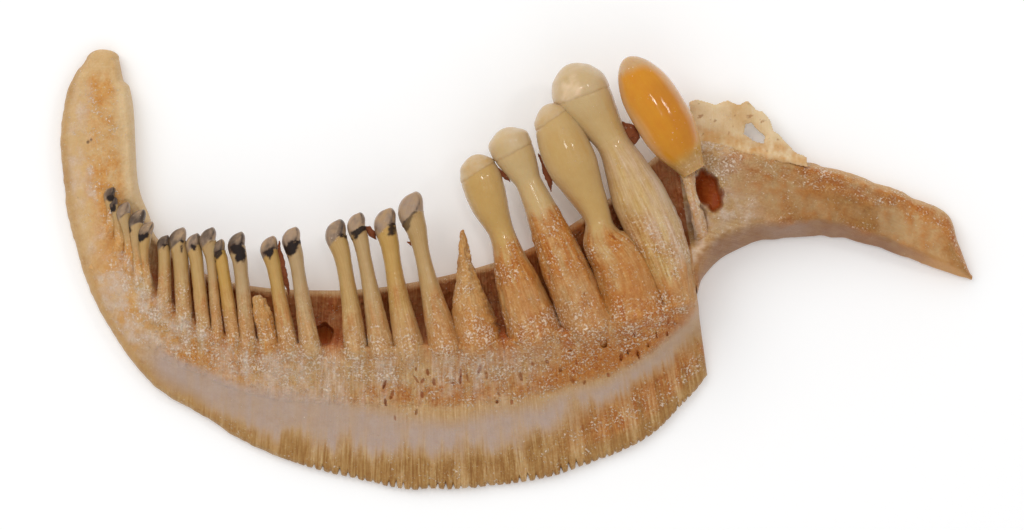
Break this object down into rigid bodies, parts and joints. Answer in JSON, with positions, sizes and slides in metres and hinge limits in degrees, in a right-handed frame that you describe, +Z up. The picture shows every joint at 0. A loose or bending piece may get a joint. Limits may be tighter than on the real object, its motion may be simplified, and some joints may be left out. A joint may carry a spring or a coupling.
{
  "type": "fish pharyngeal tooth arch",
  "caption": "Sickle-shaped fish throat bone lying flat, with a graded row of teeth, slender at one end and molar-like at the other, a serrated wing and a pointed limb.",
  "frame": {"origin": "On the surface that the bone lies on, under the middle of its bounding box", "axes": "X runs along the bone's longest extent towards the pointed ventral limb, Y towards the tooth tips, Z up out of the surface"},
  "size_m": [0.0609, 0.0297, 0.0068],
  "materials": {
    "limb_bone": "dry yellow-tan bone, satin",
    "bed_bone": "porous orange-tan bone with pale specks, and glossier cream teeth",
    "wing_bone": "thin fluted orange-brown bone, satin"
  },
  "bodies": {
    "root": {"dorsal_limb": "limb_bone", "comb_bed": "bed_bone", "molar_bed": "bed_bone", "lateral_wing": "wing_bone", "ventral_limb": "limb_bone", "ventral_crest": "limb_bone"}
  },
  "joints": []
}
